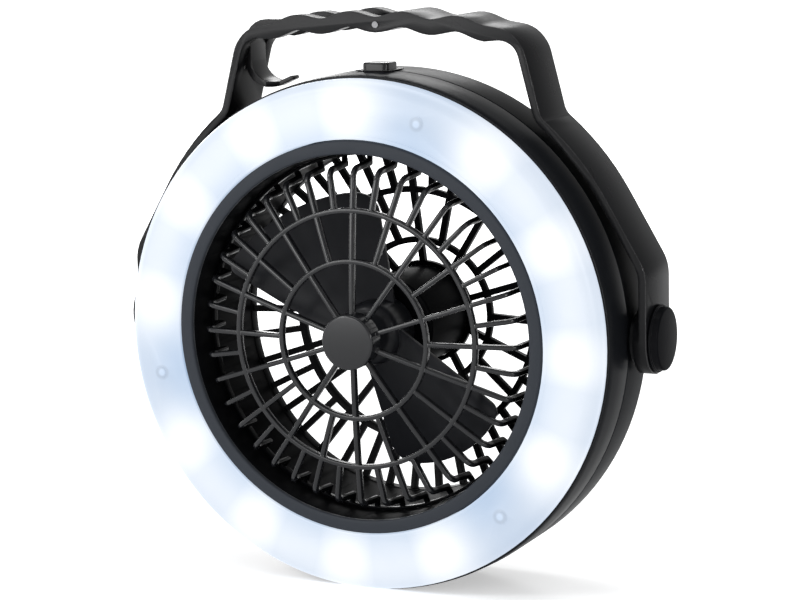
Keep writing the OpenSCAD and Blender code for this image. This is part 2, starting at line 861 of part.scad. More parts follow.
// Curved box for the cells, with a wall between its two halves
module battery_tray() {
  floor_y = deck_back_y;
  end_wall = 1.1;
  color("#202224") at_drum() union() {
    difference() {
      turned_part(
        tray_section(tray_in_r, tray_out_r, floor_y, top_of_tray),
        -90 - tray_half, -90 + tray_half
      );
      turned_part(
        tray_section(tray_in_r + tray_wall, tray_out_r - 1.2, floor_y + tray_wall, top_of_tray + 1),
        -90 - tray_half + end_wall, -90 + tray_half - end_wall
      );
    }
    span([-0.6, floor_y + 0.5, -cover_out_r], [0.6, top_of_tray, -tray_in_r - 0.6]);
  }
}

// An AA cell with its nub, whose middle lies at the angle a and the depth y
module cell(a, y) {
  color("#5c6b3a") at_drum() at_angle(a) translate([cell_ring_r, y, -cell_len/2]) union() {
    cylinder(r = cell_r, h = cell_len, $fn = 48);
    cylinder(r = 2.7, h = cell_len + 1.5, $fn = 32);
  }
}

module cell_1() { cell(-90 - cell_angle, cell_front_y); }
module cell_2() { cell(-90 + cell_angle, cell_front_y); }
module cell_3() { cell(-90 - cell_angle, cell_rear_y); }
module cell_4() { cell(-90 + cell_angle, cell_rear_y); }

// Cone springs on contact plates at the outer ends of the cells
module battery_springs() {
  spring_h = 4.6;
  wire_t = 0.8;
  top_r = 1.6;
  foot_r = 4;
  contact = 11;
  contact_t = 0.6;
  color("#c9cbce") at_drum() for (side = [-1, 1], y = [cell_front_y, cell_rear_y])
    at_angle(-90 + side*cell_angle) translate([cell_ring_r, y, side*(cell_len/2 + 1.8)])
      rotate([side > 0 ? 0 : 180, 0, 0]) union() {
        rotate_extrude($fn = 32) polygon([
          [top_r, 0], [top_r + wire_t, 0], [foot_r + wire_t, spring_h], [foot_r, spring_h]
        ]);
        translate([-contact/2 - root, -contact/2, spring_h - 0.05]) cube([contact, contact, contact_t]);
      }
}

// Curved lid in the back wall, with three ribs for the finger
module battery_cover() {
  rib_half = 6;
  rib_first = 2;
  rib_pitch = 2.5;
  rib_proud = 0.8;
  color("#1c1e20") at_drum() union() {
    turned_part(
      [
        [cover_in_r, back_in_y], [cover_out_r, back_in_y], [cover_out_r, back_y],
        [cover_in_r, back_y]
      ],
      -90 - cover_half, -90 + cover_half
    );
    for (k = [0:2])
      let (r = cover_out_r - rib_first - rib_pitch*k)
        turned_part(
          [[r - 1, back_y - root], [r, back_y - root], [r, back_y + rib_proud], [r - 1, back_y + rib_proud]],
          -90 - rib_half, -90 + rib_half
        );
  }
}

module housing_screws() {
  color("#8d9094") at_drum() for (a = screw_angles)
    at_angle(a) translate([screw_ring_r, 0, 0]) union() {
      along_y(head_r, head_y, head_y + 2, $fn = 32);
      along_y(screw_r, post_split_y - screw_len + 1, head_y + 0.5, $fn = 32);
    }
}

// Height of the grip's middle line at x
function grip_z(x) =
  grip_h - grip_arch*pow(x/grip_half, 2) - wave_h*cos(360*x/wave_len);

// Middle line of the right half of the handle, from the eye to the middle of the grip
function handle_half() =
  let (
    low = strap_r*[cos(arc_low), sin(arc_low)],
    high = strap_r*[cos(arc_high), sin(arc_high)],
    bend = [arm_x, low.y - (arm_x - low.x)*cos(arc_low)/sin(arc_low)],
    shoulder = high + shoulder_run*[-sin(arc_high), cos(arc_high)],
    top = [corner_x, grip_z(grip_half) - 0.4],
    end = [grip_half, grip_z(grip_half)],
    steps = 24
  ) concat(
    [[arm_x, 0]],
    corner([arm_x, 0], bend, low, arm_round),
    arc([0, 0], strap_r, arc_low, arc_high, arc_steps),
    corner(high, shoulder, top, shoulder_round, 4),
    corner(shoulder, top, end, corner_round, 8),
    [for (i = [0:steps]) let (x = grip_half*(1 - i/steps)) [x, grip_z(x)]]
  );

// Half the strap's thickness at a point of its middle line
function half_t(p) =
  let (up = min(1, max(0, (corner_x - abs(p.x))/(corner_x - grip_half))))
    (strap_t + (grip_t - strap_t)*up)/2;

function handle_line() =
  let (right = handle_half())
    concat(right, [for (i = [len(right) - 2:-1:0]) [-right[i].x, right[i].y]]);

// Strap with a waved grip, round eyes, and the slot that the hook folds into
module handle() {
  line = handle_line();
  color("#1c1e20") at_drum() difference() {
    union() {
      rotate([90, 0, 0]) linear_extrude(strap_w, center = true)
        polygon(strip(line, [for (p = line) half_t(p)]));
      for (side = [-1, 1])
        scale([side, 1, 1]) rotate([0, 90, 0]) translate([0, 0, eye_in_x])
          cylinder(r = strap_w/2, h = eye_t);
    }
    intersection() {
      translate([0, 0, hook_pin_z])
        along_y(hook_swing_r + slot_gap, -hook_w/2 - slot_gap, hook_w/2 + slot_gap);
      span(
        [-hook_swing_r - 2*slot_gap, -strap_w, upright_z - hook_t],
        [hook_eye_r + slot_gap, strap_w, grip_h + hook_swing_r]
      );
    }
    translate([0, 0, hook_pin_z]) along_y(pin_r + 0.01, -strap_w, strap_w, $fn = 32);
    for (side = [-1, 1])
      scale([side, 1, 1]) rotate([0, 90, 0]) translate([0, 0, eye_in_x - 1])
        cylinder(r = pivot_r + pivot_fit, h = eye_t + 2);
  }
}

// Middle line of the hook: shank, upright and the wide bend that ends in a raised tip
function hook_line() =
  let (
    pin = [0, hook_pin_z],
    top = [-hook_reach, hook_pin_z],
    low = [-hook_reach, upright_z],
    flat = [-hook_reach + hook_flat, upright_z],
    tip = flat + [hook_tip_run, hook_tip_rise]
  ) concat(
    [pin], corner(pin, top, low, hook_top_round, 6), corner(top, low, flat, hook_bend_round, 8),
    corner(low, flat, tip, hook_tip_round, 2), [tip]
  );

// Hook as a wide band that narrows towards its tip
module hook() {
  line = hook_line();
  n = len(line) - 1;
  tip = line[n];
  taper = 8;
  neck = 6;
  half = [
    for (i = [0:n]) hook_t/2 + (hook_tip_t - hook_t)/2*max(0, i - n + taper)/taper
  ];
  color("#232629") at_drum() difference() {
    union() {
      rotate([90, 0, 0]) linear_extrude(hook_w, center = true) polygon(strip(line, half));
      translate([0, 0, hook_pin_z]) along_y(hook_eye_r, -hook_w/2, hook_w/2, $fn = 48);
      translate([tip.x, 0, tip.y]) along_y(hook_tip_t/2, -hook_w/2, hook_w/2, $fn = 32);
    }
    translate([0, 0, hook_pin_z]) along_y(pin_r + pin_fit, -hook_w, hook_w, $fn = 32);
    // Slanted cuts beside the tip
    for (side = [-1, 1])
      scale([1, side, 1]) translate([0, 0, upright_z - hook_t]) linear_extrude(4*hook_t) polygon([
        [tip.x + hook_t, hook_tip_w/2], [tip.x + hook_t, hook_w],
        [tip.x - neck - 3, hook_w], [tip.x - neck - 3, hook_w/2], [tip.x - neck + 1, hook_tip_w/2]
      ]);
  }
}

module hook_pin() {
  color("#c4c6c9") at_drum() translate([0, 0, hook_pin_z])
    along_y(pin_r, -strap_w/2 - 0.2, strap_w/2 + 0.2, $fn = 32);
}

module pivot_bolt(side) {
  color("#9ea1a5") at_drum() scale([side, 1, 1]) turned_x([
    [0, bolt_in_x + 1], [pivot_r, bolt_in_x + 1], [pivot_r, bolt_x], [0, bolt_x]
  ]);
}

module pivot_bolt_left() { pivot_bolt(-1); }
module pivot_bolt_right() { pivot_bolt(1); }

// Stepped round cap that covers the end of a pivot bolt
module pivot_cap(side) {
  flange_r = cap_r + cap_flange_w;
  end_x = cap_x + cap_t;
  color("#202326") at_drum() scale([side, 1, 1]) turned_x(concat(
    [
      [pivot_r + press, cap_x], [flange_r - 0.3, cap_x], [flange_r, cap_x + 0.3],
      [flange_r, cap_x + cap_flange_t], [cap_r, cap_x + cap_flange_t]
    ],
    arc([cap_r - cap_round, end_x - cap_round], cap_round, 0, 90, 4),
    [[0, end_x], [0, bolt_x + press], [pivot_r + press, bolt_x + press]]
  ));
}

module pivot_cap_left() { pivot_cap(-1); }
module pivot_cap_right() { pivot_cap(1); }

// Friction washer between a boss and an eye
module pivot_washer(side) {
  color("#3c3f42") at_drum() scale([side, 1, 1]) turned_x([
    [pivot_r + snug, washer_x], [boss_r - 0.3, washer_x],
    [boss_r - 0.3, washer_x + washer_t], [pivot_r + snug, washer_x + washer_t]
  ]);
}

module pivot_washer_left() { pivot_washer(-1); }
module pivot_washer_right() { pivot_washer(1); }

front_housing();
rear_housing();
lens();
trim_ring();
front_grille();
duct();
rear_grille();
reflector();
led_board();
leds();
rotor();
motor_cup();
motor_lid();
motor_can();
motor_bush();
motor_shaft();
switch_button();
button_bezel();
switch_body();
battery_tray();
cell_1();
cell_2();
cell_3();
cell_4();
battery_springs();
battery_cover();
housing_screws();
handle();
hook();
hook_pin();
pivot_bolt_left();
pivot_bolt_right();
pivot_cap_left();
pivot_cap_right();
pivot_washer_left();
pivot_washer_right();
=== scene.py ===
import json
import math
import bmesh
import bpy
from mathutils import Matrix, Vector


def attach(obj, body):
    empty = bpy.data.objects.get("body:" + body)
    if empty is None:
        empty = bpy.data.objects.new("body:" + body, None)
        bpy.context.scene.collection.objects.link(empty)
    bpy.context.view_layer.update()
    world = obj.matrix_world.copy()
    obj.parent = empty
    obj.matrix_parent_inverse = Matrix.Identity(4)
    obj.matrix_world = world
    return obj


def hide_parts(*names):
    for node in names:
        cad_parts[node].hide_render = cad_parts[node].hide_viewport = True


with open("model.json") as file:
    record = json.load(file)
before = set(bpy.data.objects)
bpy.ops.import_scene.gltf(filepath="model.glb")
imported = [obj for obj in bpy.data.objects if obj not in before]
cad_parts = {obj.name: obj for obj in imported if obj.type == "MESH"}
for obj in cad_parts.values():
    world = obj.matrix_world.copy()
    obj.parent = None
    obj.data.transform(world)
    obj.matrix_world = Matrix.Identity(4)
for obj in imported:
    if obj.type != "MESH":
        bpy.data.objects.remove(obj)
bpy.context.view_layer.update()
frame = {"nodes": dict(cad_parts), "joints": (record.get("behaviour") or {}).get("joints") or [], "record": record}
mm = 0.001
nodes = frame["nodes"]
joints = {j["name"]: j for j in frame["joints"]}
drumCentre = Vector(joints["fan_spin"]["pos_m"])   # on the fan's axis, level with the handle's pivots
print("frame loaded:", len(nodes), "nodes")


# short ways to add shader nodes and join them

def add(tree, kind, **settings):
    node = tree.nodes.new(kind)
    for key, value in settings.items():
        setattr(node, key, value)
    return node


def feed(tree, socket, value):
    if isinstance(value, bpy.types.NodeSocket):
        tree.links.new(value, socket)
    else:
        socket.default_value = value


def calc(tree, operation, *values, clamp=False):
    node = add(tree, "ShaderNodeMath", operation=operation, use_clamp=clamp)
    for socket, value in zip(node.inputs, values):
        feed(tree, socket, value)
    return node.outputs[0]


def squared(tree, value):
    return calc(tree, "MULTIPLY", value, value)


def ramp(tree, value, low, high, to=(0, 1)):
    node = add(tree, "ShaderNodeMapRange", interpolation_type="SMOOTHSTEP")
    for label, v in zip(("Value", "From Min", "From Max", "To Min", "To Max"), (value, low, high, *to)):
        feed(tree, node.inputs[label], v)
    return node.outputs["Result"]


def noise(tree, vector, scale, detail, rough):
    node = add(tree, "ShaderNodeTexNoise")
    tree.links.new(vector, node.inputs["Vector"])
    feed(tree, node.inputs["Scale"], scale)
    node.inputs["Detail"].default_value = detail
    node.inputs["Roughness"].default_value = rough
    return node.outputs["Fac"]


def blendColour(tree, factor, a, b):
    node = add(tree, "ShaderNodeMix", data_type="RGBA")
    feed(tree, node.inputs["Factor"], factor)
    feed(tree, node.inputs[6], a)   # the node's two colour sockets, which share their names with others
    feed(tree, node.inputs[7], b)
    return node.outputs[2]


def objectCoords(tree):
    return add(tree, "ShaderNodeTexCoord").outputs["Object"]


def addBump(tree, shader, height, strength, distance):
    bump = add(tree, "ShaderNodeBump")
    bump.inputs["Strength"].default_value = strength
    bump.inputs["Distance"].default_value = distance
    tree.links.new(height, bump.inputs["Height"])
    tree.links.new(bump.outputs["Normal"], shader.inputs["Normal"])


def startMaterial(name):
    material = bpy.data.materials.new(name)
    material.use_nodes = True
    return material, material.node_tree, material.node_tree.nodes["Principled BSDF"]


# camera, floor and light

studio = {
    "azimuth": 24.48, "elevation": 9.555, "roll": -1.2, "distance": 1.0,
    "aimRight": 1.456 * mm, "aimUp": 8.624 * mm, "lens": 119.52, "sensorWidth": 36,
    "clipStart": 0.05, "clipEnd": 30, "fillStrength": 0.5,
    "floorSize": 8.0, "floorColour": (0.86, 0.865, 0.87, 1), "floorRoughness": 0.9, "floorSpecular": 0.1,
    "nearGlow": 0.42, "farGlow": 1.0, "glowFrom": 0.22, "glowTo": 0.9,
}

lamps = {
    # place, aim, width and height, watts
    "keyLight": ((-1.1, -1.3, 1.2), (0, 0, 0.1), (0.6, 0.5), 12),
    "frontLight": ((-0.85, -1.75, 0.35), (0, 0, 0.1), (0.8, 0.6), 12),
    "sideLight": ((1.5, -0.8, 0.45), (0, 0, 0.1), (0.2, 0.35), 6),
    "edgeLight": ((-1.75, -0.1, 0.35), (0, 0, 0.12), (0.12, 0.8), 5),
    "topLight": ((-0.1, 0.2, 1.7), (0, 0, 0.1), (0.8, 0.8), 10),
    "backLight": ((-0.65, 1.55, 0.85), (0, 0, 0.1), (0.5, 0.4), 4.5),
    "rearLight": ((-1.15, 1.45, 0.45), (0, 0, 0.1), (0.7, 0.5), 9),
}


def makeCamera(s):
    a, e, roll = (math.radians(s[k]) for k in ("azimuth", "elevation", "roll"))
    back = Vector((math.sin(a) * math.cos(e), -math.cos(a) * math.cos(e), math.sin(e)))
    right = Vector((math.cos(a), math.sin(a), 0))
    up = back.cross(right).normalized()
    turnedRight = right * math.cos(roll) + up * math.sin(roll)
    turnedUp = up * math.cos(roll) - right * math.sin(roll)
    data = bpy.data.cameras.new("camera")
    data.lens = s["lens"]
    data.sensor_width = s["sensorWidth"]
    data.clip_start = s["clipStart"]
    data.clip_end = s["clipEnd"]
    camera = bpy.data.objects.new("camera", data)
    bpy.context.scene.collection.objects.link(camera)
    place = drumCentre + back * s["distance"] + turnedRight * s["aimRight"] + turnedUp * s["aimUp"]
    turn = Matrix((turnedRight, turnedUp, back)).transposed().to_4x4()
    camera.matrix_world = Matrix.Translation(place) @ turn
    bpy.context.scene.camera = camera


def softBox(name, place, aim, size, watts):
    data = bpy.data.lights.new(name, "AREA")
    data.shape = "RECTANGLE"
    data.size, data.size_y = size
    data.energy = watts
    lamp = bpy.data.objects.new(name, data)
    bpy.context.scene.collection.objects.link(lamp)
    lamp.location = place
    lamp.rotation_euler = (Vector(aim) - Vector(place)).to_track_quat("-Z", "Y").to_euler()


def backdropStrength(tree, dim):
    # white where the camera, a reflection or clear plastic looks at it, dimmer as a light
    path = add(tree, "ShaderNodeLightPath").outputs
    direct = calc(tree, "MAXIMUM", path["Is Camera Ray"], path["Is Glossy Ray"])
    seen = calc(tree, "MAXIMUM", direct, path["Is Transmission Ray"])
    mix = add(tree, "ShaderNodeMix")
    feed(tree, mix.inputs["Factor"], seen)
    feed(tree, mix.inputs["A"], dim)
    feed(tree, mix.inputs["B"], 1)
    return mix.outputs["Result"]


def makeFloorPaper(s):
    # white paper that keeps the shadow near the object and runs out to the white backdrop farther off
    paper, tree, shader = startMaterial("floorPaper")
    shader.inputs["Roughness"].default_value = s["floorRoughness"]
    shader.inputs["Specular IOR Level"].default_value = s["floorSpecular"]
    shader.inputs["Base Color"].default_value = s["floorColour"]
    shader.inputs["Emission Color"].default_value = (1, 1, 1, 1)
    length = add(tree, "ShaderNodeVectorMath", operation="LENGTH")
    tree.links.new(objectCoords(tree), length.inputs[0])
    away = ramp(tree, length.outputs["Value"], s["glowFrom"], s["glowTo"], (s["nearGlow"], s["farGlow"]))
    seen = calc(tree, "MULTIPLY", away, backdropStrength(tree, 0))
    tree.links.new(seen, shader.inputs["Emission Strength"])
    return paper


def makeStudio(s):
    world = bpy.data.worlds.new("studioWorld")
    bpy.context.scene.world = world
    world.use_nodes = True
    tree = world.node_tree
    background = tree.nodes["Background"]
    background.inputs["Color"].default_value = (1, 1, 1, 1)
    tree.links.new(backdropStrength(tree, s["fillStrength"]), background.inputs["Strength"])
    bpy.context.scene.view_settings.view_transform = "Standard"

    half = s["floorSize"] / 2
    corners = [(-half, -half, 0), (half, -half, 0), (half, half, 0), (-half, half, 0)]
    mesh = bpy.data.meshes.new("floor")
    mesh.from_pydata(corners, [], [(0, 1, 2, 3)])
    floor = bpy.data.objects.new("floor", mesh)
    bpy.context.scene.collection.objects.link(floor)
    mesh.materials.append(makeFloorPaper(s))


makeCamera(studio)
makeStudio(studio)
for name, (place, aim, size, watts) in lamps.items():
    softBox(name, place, aim, size, watts)
print("camera, floor and lights made")


# shared shader groups

plasticSkin = {
    "patchScale": 38.0, "markScale": 260.0,             # slow changes of gloss, and handling marks
    "edgeFrom": 0.985, "edgeTo": 0.86,                  # cosines between the rounded and the flat normal
    "wearFrom": 0.35, "wearTo": 0.75, "wearRough": 0.08,
    "levelFrom": 0.55, "dustFrom": 0.4, "dustTo": 0.8, "dustRough": 0.3, "dustColour": (0.32, 0.32, 0.31, 1),
    "grainHeight": 0.05 * mm,
    # how side faces fade to a painted shade of lower specular, and how much extra specular is painted on edges as
    # a highlight
    "sideShadeFrom": 0.45, "sideShadeTo": 0.95, "edgeHighlightGain": 3.0,
}


def newGroup(name, inputs, outputs):
    group = bpy.data.node_groups.new(name, "ShaderNodeTree")
    for label, kind, value in inputs:
        group.interface.new_socket(name=label, in_out="INPUT", socket_type=kind).default_value = value
    for label, kind in outputs:
        group.interface.new_socket(name=label, in_out="OUTPUT", socket_type=kind)
    return group, group.nodes.new("NodeGroupInput"), group.nodes.new("NodeGroupOutput")


def placeGroup(tree, group, **values):
    node = add(tree, "ShaderNodeGroup", node_tree=group)
    for label, value in values.items():
        feed(tree, node.inputs[label.replace("_", " ")], value)
    return node


def makeMouldedPlastic(s):
    # fine spark-eroded grain, slow changes of gloss, faint handling marks and rubbed edges; on the strap the
    # lighter edges are also a painted highlight
    number = "NodeSocketFloat"
    inputs = [
        ("Colour", "NodeSocketColor", (0.02, 0.02, 0.02, 1)),
        ("Rubbed Colour", "NodeSocketColor", (0.08, 0.08, 0.08, 1)),
        ("Roughness", number, 0.4), ("Gloss Change", number, 0.08), ("Grain Size", number, 2600.0),
        ("Grain Depth", number, 0.15), ("Edge Radius", number, 0.4 * mm), ("Edge Wear", number, 0.3),
        ("Dust", number, 0.1), ("Side Gloss", number, 0.12),
    ]
    outputs = [
        ("Colour", "NodeSocketColor"), ("Roughness", number),
        ("Normal", "NodeSocketVector"), ("Gloss", number),
    ]
    tree, given, out = newGroup("mouldedPlastic", inputs, outputs)
    own = add(tree, "ShaderNodeTexCoord")
    coords = own.outputs["Object"]
    grain = noise(tree, coords, given.outputs["Grain Size"], 3, 0.6)
    slow = noise(tree, coords, s["patchScale"], 3, 0.55)
    marks = noise(tree, coords, s["markScale"], 4, 0.7)

    bevel = add(tree, "ShaderNodeBevel", samples=4)
    tree.links.new(given.outputs["Edge Radius"], bevel.inputs["Radius"])
    geometry = add(tree, "ShaderNodeNewGeometry")
    dot = add(tree, "ShaderNodeVectorMath", operation="DOT_PRODUCT")
    tree.links.new(bevel.outputs["Normal"], dot.inputs[0])
    tree.links.new(geometry.outputs["Normal"], dot.inputs[1])
    edge = ramp(tree, dot.outputs["Value"], s["edgeFrom"], s["edgeTo"])
    # lighter edge colour from rubbing, and on the strap also a painted highlight along the edges
    broken = calc(tree, "MULTIPLY", edge, ramp(tree, marks, s["wearFrom"], s["wearTo"]))
    wearAndHighlight = calc(tree, "MULTIPLY", broken, given.outputs["Edge Wear"], clamp=True)

    top = add(tree, "ShaderNodeSeparateXYZ")
    tree.links.new(geometry.outputs["Normal"], top.inputs[0])
    level = ramp(tree, top.outputs["Z"], s["levelFrom"], 1.0)
    settled = calc(tree, "MULTIPLY", level, ramp(tree, marks, s["dustFrom"], s["dustTo"]))
    dust = calc(tree, "MULTIPLY", settled, given.outputs["Dust"], clamp=True)

    wornAndHighlighted = blendColour(tree, wearAndHighlight, given.outputs["Colour"], given.outputs["Rubbed Colour"])
    tree.links.new(blendColour(tree, dust, wornAndHighlighted, s["dustColour"]), out.inputs["Colour"])

    swing = calc(tree, "MULTIPLY", calc(tree, "SUBTRACT", slow, 0.5), given.outputs["Gloss Change"])
    rough = calc(tree, "ADD", given.outputs["Roughness"], swing)
    rough = calc(tree, "ADD", rough, calc(tree, "MULTIPLY", dust, s["dustRough"]))
    rough = calc(tree, "SUBTRACT", rough, calc(tree, "MULTIPLY", wearAndHighlight, s["wearRough"]), clamp=True)
    tree.links.new(rough, out.inputs["Roughness"])

    bump = add(tree, "ShaderNodeBump")
    bump.inputs["Distance"].default_value = s["grainHeight"]
    tree.links.new(given.outputs["Grain Depth"], bump.inputs["Strength"])
    tree.links.new(grain, bump.inputs["Height"])
    tree.links.new(bevel.outputs["Normal"], bump.inputs["Normal"])
    tree.links.new(bump.outputs["Normal"], out.inputs["Normal"])

    # specular painted by direction: faces along the axis keep all of it, faces round the axis keep only the side
    # share as a painted shade, and edges get extra specular as a painted highlight
    axes = add(tree, "ShaderNodeSeparateXYZ")
    tree.links.new(own.outputs["Normal"], axes.inputs[0])
    along = calc(tree, "ABSOLUTE", axes.outputs["Y"])
    paintedSideShade = ramp(tree, along, s["sideShadeFrom"], s["sideShadeTo"], (given.outputs["Side Gloss"], 1))
    shine = calc(tree, "MULTIPLY", edge, s["edgeHighlightGain"])
    tree.links.new(calc(tree, "ADD", paintedSideShade, shine), out.inputs["Gloss"])
    return tree


def makeWheelPlace():
    # distance from the fan's axis, angle round it and depth along it, from the object's own coordinates
    number = "NodeSocketFloat"
    tree, given, out = newGroup(
        "wheelPlace", [("Centre", "NodeSocketVector", tuple(drumCentre))],
        [("Radius", number), ("Angle", number), ("Depth", number)])
    away = add(tree, "ShaderNodeVectorMath", operation="SUBTRACT")
    tree.links.new(objectCoords(tree), away.inputs[0])
    tree.links.new(given.outputs["Centre"], away.inputs[1])
    axes = add(tree, "ShaderNodeSeparateXYZ")
    tree.links.new(away.outputs["Vector"], axes.inputs[0])
    x, y, z = axes.outputs
    radius = calc(tree, "SQRT", calc(tree, "ADD", squared(tree, x), squared(tree, z)))
    angle = calc(tree, "MULTIPLY", calc(tree, "ARCTAN2", z, x), 180 / math.pi)
    tree.links.new(radius, out.inputs["Radius"])
    tree.links.new(angle, out.inputs["Angle"])
    tree.links.new(y, out.inputs["Depth"])
    return tree


mouldedPlastic = makeMouldedPlastic(plasticSkin)
wheelPlace = makeWheelPlace()
print("shader groups made")


# moulded plastics

plastics = {
    # colour and rubbed colour (on the strap partly a painted highlight), then roughness, gloss change, grain size,
    # grain depth, edge radius in mm, wear, dust, specular, and the share of the specular that faces round the axis
    # keep, which paints shade on the sides
    "shellBlack": ((0.0062, 0.0068, 0.0082), (0.026, 0.027, 0.029),
                   0.34, 0.08, 3000, 0.20, 0.35, 0.14, 0.01, 0.10, 0.12),
    # the strap's light rubbed colour and high edge value paint a highlight along its edges, besides the rubbing
    "strapBlack": ((0.0056, 0.0058, 0.0066), (0.085, 0.085, 0.088),
                   0.28, 0.06, 3200, 0.14, 0.80, 0.60, 0.01, 0.13, 0.12),
    "hookBlack": ((0.0080, 0.0080, 0.0088), (0.045, 0.045, 0.047),
                  0.30, 0.08, 3200, 0.14, 0.35, 0.22, 0.01, 0.16, 0.5),
    "trimCharcoal": ((0.030, 0.034, 0.041), (0.065, 0.069, 0.074),
                     0.42, 0.06, 3600, 0.14, 0.25, 0.12, 0.02, 0.08, 0.6),
    "grilleBlack": ((0.0095, 0.0100, 0.0114), (0.036, 0.036, 0.040),
                    0.18, 0.06, 3200, 0.05, 0.20, 0.10, 0.01, 0.28, 1.0),
    "latticeBlack": ((0.0040, 0.0042, 0.0050), (0.020, 0.020, 0.022),
                     0.32, 0.08, 3200, 0.10, 0.20, 0.10, 0.01, 0.05, 0.3),
    "ductBlack": ((0.0028, 0.0030, 0.0036), (0.012, 0.012, 0.014),
                  0.48, 0.06, 3000, 0.16, 0.25, 0.06, 0.01, 0.03, 0.3),
    "bladeGrey": ((0.0115, 0.0120, 0.0140), (0.026, 0.026, 0.030),
                  0.30, 0.07, 2800, 0.02, 0.20, 0.08, 0.01, 0.12, 1.0),
    "capBlack": ((0.0046, 0.0048, 0.0058), (0.045, 0.045, 0.048),
                 0.24, 0.06, 3000, 0.10, 0.40, 0.25, 0.01, 0.03, 0.10),
    "buttonRubber": ((0.0080, 0.0080, 0.0088), (0.028, 0.028, 0.030),
                     0.28, 0.06, 3600, 0.16, 0.30, 0.10, 0.01, 0.20, 1.0),
    "bezelBlack": ((0.0050, 0.0051, 0.0058), (0.030, 0.030, 0.030),
                   0.24, 0.05, 3000, 0.10, 0.20, 0.12, 0.01, 0.20, 1.0),
    "trayBlack": ((0.0110, 0.0112, 0.0123), (0.04, 0.04, 0.04),
                  0.45, 0.08, 2600, 0.35, 0.30, 0.12, 0.04, 0.30, 1.0),
    "switchGrey": ((0.030, 0.030, 0.033), (0.08, 0.08, 0.08),
                   0.40, 0.06, 3000, 0.20, 0.25, 0.10, 0.02, 0.30, 1.0),
    "reflectorWhite": ((0.72, 0.73, 0.74), (0.8, 0.8, 0.8),
                       0.30, 0.05, 3000, 0.10, 0.25, 0.05, 0.02, 0.50, 1.0),
    "washerFibre": ((0.020, 0.019, 0.018), (0.05, 0.05, 0.05),
                    0.62, 0.10, 1800, 0.60, 0.20, 0.10, 0.02, 0.20, 1.0),
}

grilleLegShade = {
    # depths along the axis over which the grille's legs take a painted shade, and the specular share and dark
    # colour it ends at
    "from": -32 * mm, "to": -28.5 * mm, "shine": 0.08, "colour": (0.003, 0.0032, 0.0038, 1),
}


def paintShadeBehindBends(tree, shader, gloss, colour, s):
    # painted shade: the legs that run back into the duct are darkened in colour and lose their specular
    deep = ramp(tree, placeGroup(tree, wheelPlace).outputs["Depth"], s["from"], s["to"])
    tree.links.new(blendColour(tree, deep, colour, s["colour"]), shader.inputs["Base Color"])
    return calc(tree, "MULTIPLY", gloss, ramp(tree, deep, 0, 1, (1, s["shine"])))


def makePlastic(name):
    colour, rubbedAndHighlight, rough, change, size, depth, radius, wearAndHighlight, dust, specular, side = plastics[name]
    material, tree, shader = startMaterial(name)
    skin = placeGroup(tree, mouldedPlastic, Colour=(*colour, 1), Rubbed_Colour=(*rubbedAndHighlight, 1), Roughness=rough,
                      Gloss_Change=change, Grain_Size=size, Grain_Depth=depth, Edge_Radius=radius * mm,
                      Edge_Wear=wearAndHighlight, Dust=dust, Side_Gloss=side)
    tree.links.new(skin.outputs["Colour"], shader.inputs["Base Color"])
    tree.links.new(skin.outputs["Roughness"], shader.inputs["Roughness"])
    tree.links.new(skin.outputs["Normal"], shader.inputs["Normal"])
    gloss = calc(tree, "MULTIPLY", skin.outputs["Gloss"], specular)
    if name == "grilleBlack":
        gloss = paintShadeBehindBends(tree, shader, gloss, skin.outputs["Colour"], grilleLegShade)
    tree.links.new(gloss, shader.inputs["Specular IOR Level"])
    return material


# metals

metals = {
    # colour, roughness, streak scale along each axis, streak depth
    "brightSteel": ((0.60, 0.61, 0.63), 0.22, (400, 400, 2600), 0.10),
    "pinSteel": ((0.153, 0.153, 0.159), 0.45, (400, 400, 2600), 0.10),
    "motorSteel": ((0.52, 0.53, 0.54), 0.34, (900, 60, 900), 0.20),
    "springSteel": ((0.66, 0.67, 0.68), 0.26, (1500, 1500, 1500), 0.08),
    "bushBronze": ((0.58, 0.40, 0.19), 0.33, (900, 900, 900), 0.15),
}

streakLook = {"shade": 0.86, "smoother": 0.06, "rougher": 0.08, "height": 0.03 * mm}


def makeMetal(name, s):
    colour, rough, streaks, depth = metals[name]
    material, tree, shader = startMaterial(name)
    mapping = add(tree, "ShaderNodeMapping")
    tree.links.new(objectCoords(tree), mapping.inputs["Vector"])
    mapping.inputs["Scale"].default_value = streaks
    lines = noise(tree, mapping.outputs["Vector"], 1.0, 3, 0.6)
    shaded = [c * s["shade"] for c in colour]
    tree.links.new(blendColour(tree, lines, (*shaded, 1), (*colour, 1)), shader.inputs["Base Color"])
    sheen = ramp(tree, lines, 0.2, 0.8, (rough - s["smoother"], rough + s["rougher"]))
    tree.links.new(sheen, shader.inputs["Roughness"])
    addBump(tree, shader, lines, depth, s["height"])
    shader.inputs["Metallic"].default_value = 1
    return material


# the lit lens, the board, its lamps and the cells

lensLook = {
    "ledRadius": 83.9 * mm, "ledStart": 12.0, "ledGroups": 3, "ledPitch": 27.0,
    "glowWidth": 17.5 * mm, "glowDepth": 17.0 * mm, "glowFall": 1.6, "glowColour": (0.95, 0.965, 0.985, 1),
    "groupGlow": 0.50, "groupDepth": 13.0 * mm, "groupOuter": 2, "groupInner": 6,
    "bodyColour": (0.385, 0.50, 0.67, 1), "rimColour": (0.46, 0.55, 0.685, 1),
    "bodyRadius": 75.0 * mm, "rimRadius": 90.0 * mm, "strength": 1.0,
    "frostColour": (0.10, 0.105, 0.11, 1), "frostRough": (0.34, 0.44), "frostSpecular": 0.3,
    "cloudScale": 45.0, "cloudDepth": 0.22,
    "grainScale": 2400.0, "grainDepth": 0.25, "grainHeight": 0.04 * mm,
    # the pips' brighter core and darker ring are a painted highlight and shade on the glow
    "pipRadius": 83.2 * mm, "pipCore": 1.3 * mm, "pipRing": 2.7 * mm, "pipPaintedHighlight": 0.30, "pipPaintedShade": 0.16,
    "coreSoft": 0.5 * mm, "ringSoft": 0.6 * mm,
}


